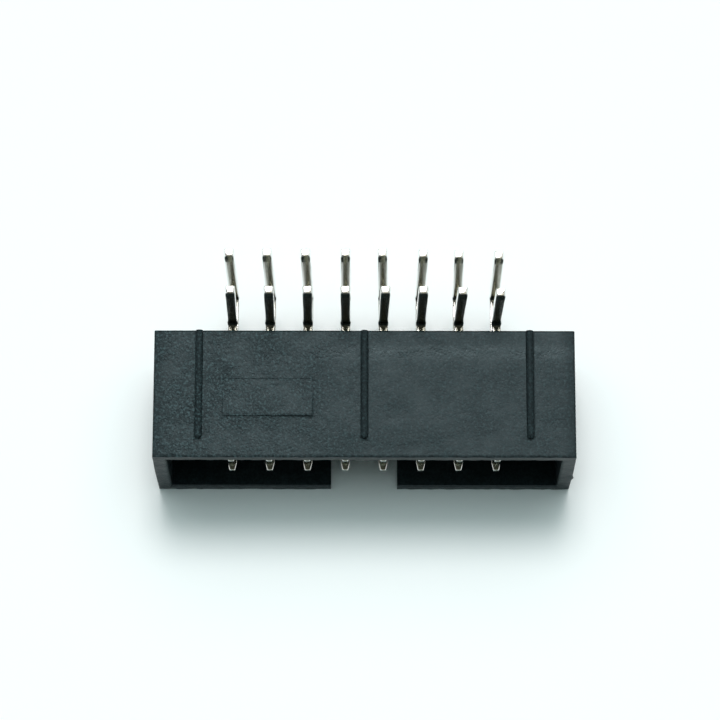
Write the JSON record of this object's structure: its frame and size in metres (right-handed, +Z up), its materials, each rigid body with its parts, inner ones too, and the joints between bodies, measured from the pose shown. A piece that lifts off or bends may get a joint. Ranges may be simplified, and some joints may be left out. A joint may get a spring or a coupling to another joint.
{
  "type": "right-angle box header",
  "caption": "Two-row right-angle box header: shrouded housing with a polarizing notch, standoff ribs and bent square pins.",
  "frame": {"origin": "on the resting face, under the middle of the whole part, housing and tails together", "axes": "+X along the pin rows, +Y from the mating face to the tails, +Z up along the solder tails; the part rests on its notched wall"},
  "size_m": [0.028, 0.0132, 0.0128],
  "materials": {
    "housing_plastic": "moulded glass-filled polyester, dark slate, finely speckled",
    "tin_plate": "bright tin plate on brass wire"
  },
  "bodies": {
    "root": {"housing": "housing_plastic", "short_pin_1": "tin_plate", "short_pin_2": "tin_plate", "short_pin_3": "tin_plate", "short_pin_4": "tin_plate", "short_pin_5": "tin_plate", "short_pin_6": "tin_plate", "short_pin_7": "tin_plate", "short_pin_8": "tin_plate", "long_pin_1": "tin_plate", "long_pin_2": "tin_plate", "long_pin_3": "tin_plate", "long_pin_4": "tin_plate", "long_pin_5": "tin_plate", "long_pin_6": "tin_plate", "long_pin_7": "tin_plate", "long_pin_8": "tin_plate"}
  },
  "joints": []
}
